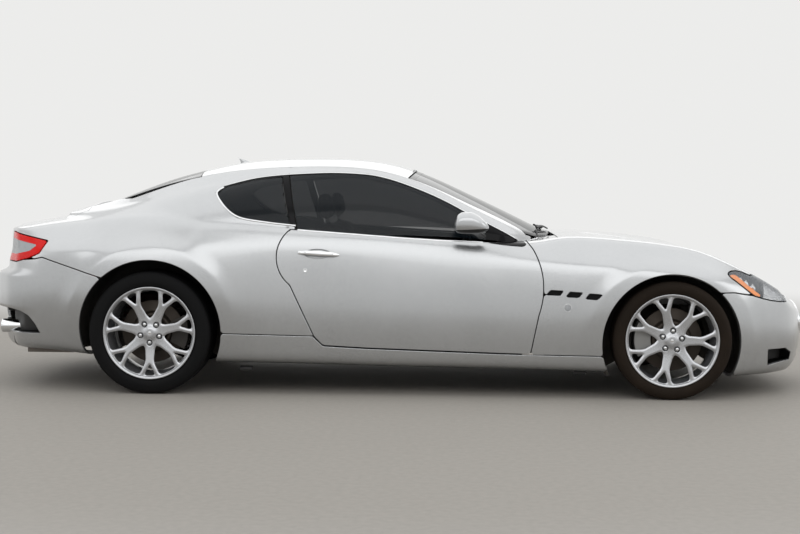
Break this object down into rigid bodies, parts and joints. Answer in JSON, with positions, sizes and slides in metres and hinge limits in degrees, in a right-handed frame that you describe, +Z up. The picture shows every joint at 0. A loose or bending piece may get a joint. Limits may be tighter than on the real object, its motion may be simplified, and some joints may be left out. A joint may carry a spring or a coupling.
{
  "type": "coupe car",
  "caption": "Two-door grand touring coupe: long bonnet, rounded nose with oval grille, frameless doors, boot lid, forked-spoke wheels.",
  "frame": {"origin": "on the ground, under the middle of the car's length and width", "axes": "+X to the nose, +Y to the car's left, +Z up"},
  "size_m": [4.88, 2.056, 1.37],
  "materials": {
    "paint": "silver metallic",
    "glass": "tinted",
    "lamp": "clear",
    "red_lamp": "red, clear middle",
    "chrome": "polished",
    "black_plastic": "satin",
    "underbody": "matt",
    "tyre": "dusty",
    "wheel_silver": "lacquered silver",
    "cast": "rough",
    "alloy": "cast",
    "seat_leather": "grained",
    "steering_leather": "smooth",
    "steel": "heat stained"
  },
  "bodies": {
    "chassis": {"sills": "paint", "wing_right": "paint", "wing_left": "paint", "front_bumper": "paint", "rear_bumper": "paint", "roof_rail_right": "paint", "roof_rail_left": "paint", "quarter_right": "paint", "quarter_left": "paint", "roof_panel": "paint", "windscreen": "glass", "rear_window": "glass", "rear_side_glass": "glass", "headlamps": "lamp", "tail_lamps": "red_lamp", "grille": "chrome", "bulkhead": "black_plastic", "floor_pan": "underbody", "front_subframe": "underbody", "rear_axle": "cast", "engine_block": "alloy", "arch_liners": "black_plastic", "seats": "seat_leather", "dashboard": "black_plastic", "exhaust": "steel", "wipers": "black_plastic"},
    "door_right": {"door_right": "paint", "door_glass_right": "glass", "mirror_right": "paint"},
    "door_left": {"door_left": "paint", "door_glass_left": "glass", "mirror_left": "paint"},
    "bonnet": {"bonnet": "paint"},
    "boot_lid": {"boot_lid": "paint"},
    "knuckle_right": {"knuckle_right": "cast"},
    "knuckle_left": {"knuckle_left": "cast"},
    "wheel_front_right": {"tyre_front_right": "tyre", "rim_front_right": "wheel_silver"},
    "wheel_front_left": {"tyre_front_left": "tyre", "rim_front_left": "wheel_silver"},
    "wheel_rear_right": {"tyre_rear_right": "tyre", "rim_rear_right": "wheel_silver"},
    "wheel_rear_left": {"tyre_rear_left": "tyre", "rim_rear_left": "wheel_silver"},
    "steering_wheel": {"steering_wheel": "steering_leather"}
  },
  "joints": [
    {"name": "door_right_hinge", "type": "hinge", "parent": "chassis", "child": "door_right", "pos_m": [0.742, -0.876, 0.6], "axis": [0, 0, 1], "range_deg": [0, 65]},
    {"name": "door_left_hinge", "type": "hinge", "parent": "chassis", "child": "door_left", "pos_m": [0.742, 0.876, 0.6], "axis": [0, 0, -1], "range_deg": [0, 65]},
    {"name": "bonnet_hinge", "type": "hinge", "parent": "chassis", "child": "bonnet", "pos_m": [0.951, 0, 0.858], "axis": [0, -1, 0], "range_deg": [0, 45]},
    {"name": "boot_lid_hinge", "type": "hinge", "parent": "chassis", "child": "boot_lid", "pos_m": [-1.838, 0, 0.976], "axis": [0, 1, 0], "range_deg": [0, 70]},
    {"name": "steer_right", "type": "hinge", "parent": "chassis", "child": "knuckle_right", "pos_m": [1.5675, -0.718, 0.333], "axis": [0, 0, 1], "range_deg": [-33, 33]},
    {"name": "steer_left", "type": "hinge", "parent": "chassis", "child": "knuckle_left", "pos_m": [1.5675, 0.718, 0.333], "axis": [0, 0, 1], "range_deg": [-33, 33]},
    {"name": "steering_wheel_turn", "type": "hinge", "parent": "chassis", "child": "steering_wheel", "pos_m": [0.395, 0.395, 0.8], "axis": [-0.9272, 0, 0.3746], "range_deg": [-450, 450]},
    {"name": "wheel_front_right_spin", "type": "hinge", "parent": "knuckle_right", "child": "wheel_front_right", "pos_m": [1.5675, -0.793, 0.333], "axis": [0, 1, 0], "continuous": true},
    {"name": "wheel_front_left_spin", "type": "hinge", "parent": "knuckle_left", "child": "wheel_front_left", "pos_m": [1.5675, 0.793, 0.333], "axis": [0, 1, 0], "continuous": true},
    {"name": "wheel_rear_right_spin", "type": "hinge", "parent": "chassis", "child": "wheel_rear_right", "pos_m": [-1.3745, -0.795, 0.347], "axis": [0, 1, 0], "continuous": true},
    {"name": "wheel_rear_left_spin", "type": "hinge", "parent": "chassis", "child": "wheel_rear_left", "pos_m": [-1.3745, 0.795, 0.347], "axis": [0, 1, 0], "continuous": true}
  ],
  "couplings": [
    {"joint": "steer_left", "follows": "steer_right", "ratio": 1},
    {"joint": "steering_wheel_turn", "follows": "steer_right", "ratio": 13.6}
  ]
}
